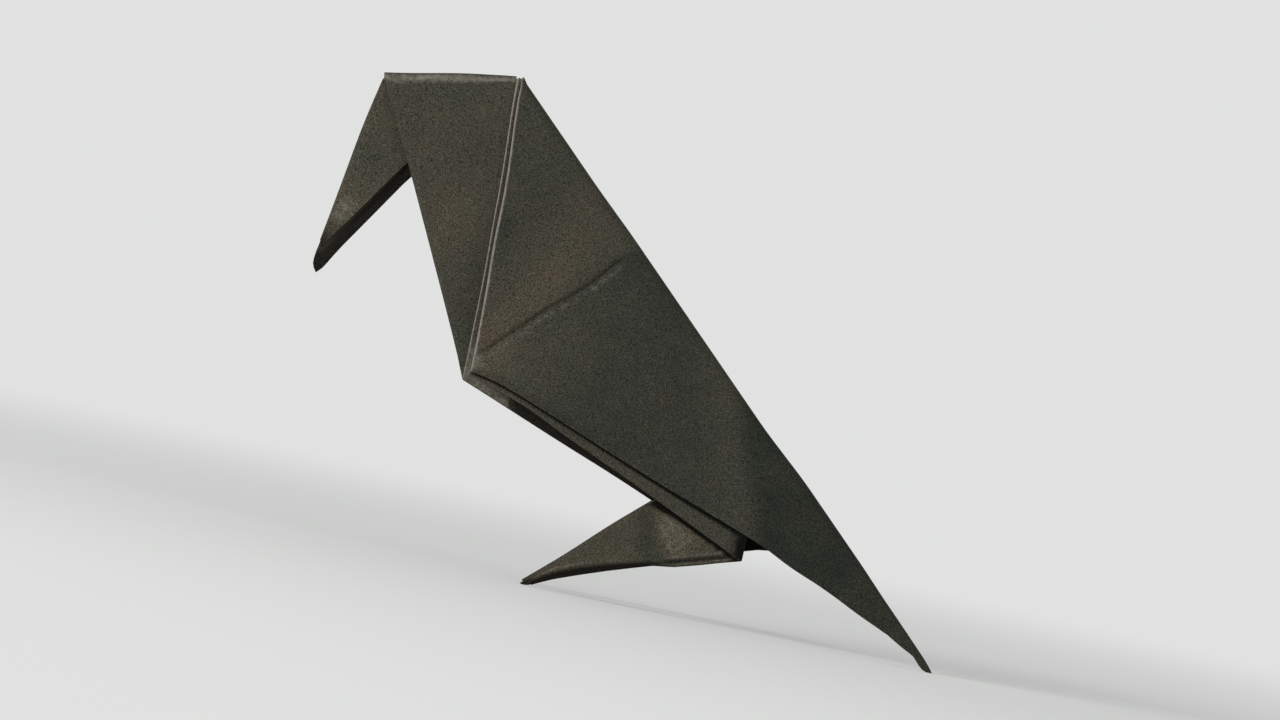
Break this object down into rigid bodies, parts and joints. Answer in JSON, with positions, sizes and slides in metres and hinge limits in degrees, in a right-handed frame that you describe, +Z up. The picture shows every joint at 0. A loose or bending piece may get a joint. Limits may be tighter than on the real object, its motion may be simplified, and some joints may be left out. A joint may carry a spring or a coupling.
{
  "type": "origami crow",
  "caption": "Standing crow folded from one square of black paper: wedge body and tail, bowed neck with a pointed beak, and splayed legs with feet turned forward. A desk or shelf ornament.",
  "frame": {"origin": "bottom centre of the bounding box, on the ground that the toes and the tail tip touch", "axes": "+Z up, +X from the beak to the tail, +Y to the crow's left across the body"},
  "size_m": [0.102, 0.016, 0.0731],
  "materials": {
    "paper": "matte black paper with a faint sheen and pale wear along the folds"
  },
  "bodies": {
    "root": {"folded_sheet": "paper"}
  },
  "joints": []
}
